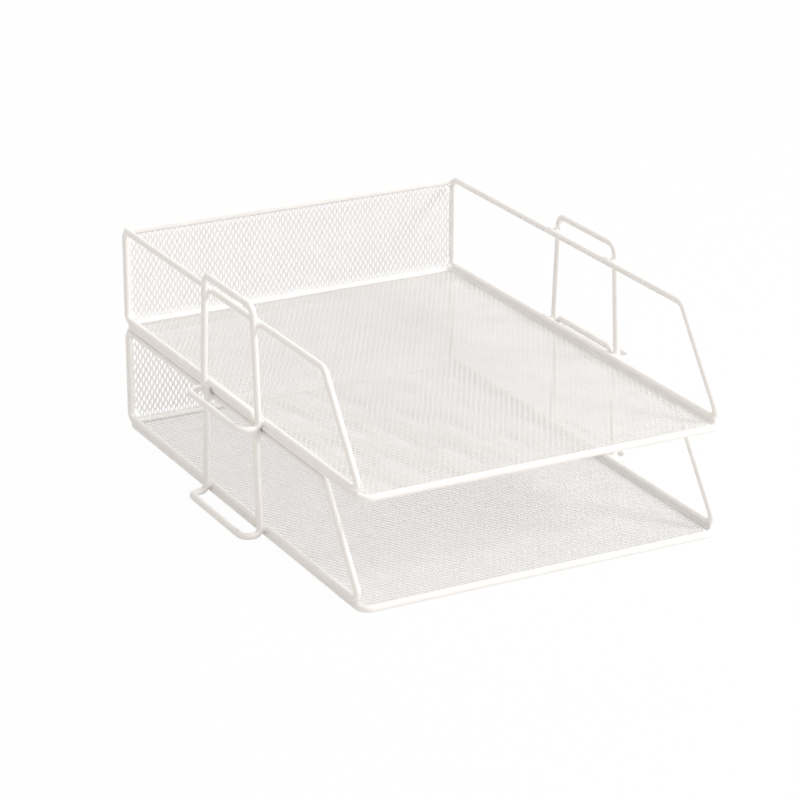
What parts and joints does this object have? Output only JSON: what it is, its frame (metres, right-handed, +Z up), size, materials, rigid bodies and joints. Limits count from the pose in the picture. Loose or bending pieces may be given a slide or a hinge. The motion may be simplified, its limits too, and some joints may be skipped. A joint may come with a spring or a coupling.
{
  "type": "letter tray",
  "caption": "Stacking letter tray of white wire and expanded-metal mesh, open at the front, with side loops that carry the tray above",
  "frame": {"origin": "middle of the footprint, feet included, on the desk", "axes": "+X to the right seen from the open front, +Y to the back wall, +Z up"},
  "size_m": [0.3006, 0.366, 0.1605],
  "materials": {
    "frame_paint": "white powder coat, satin, on steel wire",
    "mesh_paint": "white powder coat, satin, on expanded steel sheet"
  },
  "bodies": {
    "lower_tray": {"lower_base_rim": "frame_paint", "lower_base_mesh": "mesh_paint", "lower_back_mesh": "mesh_paint", "lower_back_top_hem": "frame_paint", "lower_left_side_wire": "frame_paint", "lower_right_side_wire": "frame_paint", "lower_left_stacking_loop": "frame_paint", "lower_right_stacking_loop": "frame_paint"},
    "upper_tray": {"upper_base_rim": "frame_paint", "upper_base_mesh": "mesh_paint", "upper_back_mesh": "mesh_paint", "upper_back_top_hem": "frame_paint", "upper_left_side_wire": "frame_paint", "upper_right_side_wire": "frame_paint", "upper_left_stacking_loop": "frame_paint", "upper_right_stacking_loop": "frame_paint"}
  },
  "joints": [
    {"name": "upper_tray_lift", "type": "slide", "parent": "lower_tray", "child": "upper_tray", "axis": [0, 0, 1], "range_m": [0, 0.1]}
  ]
}
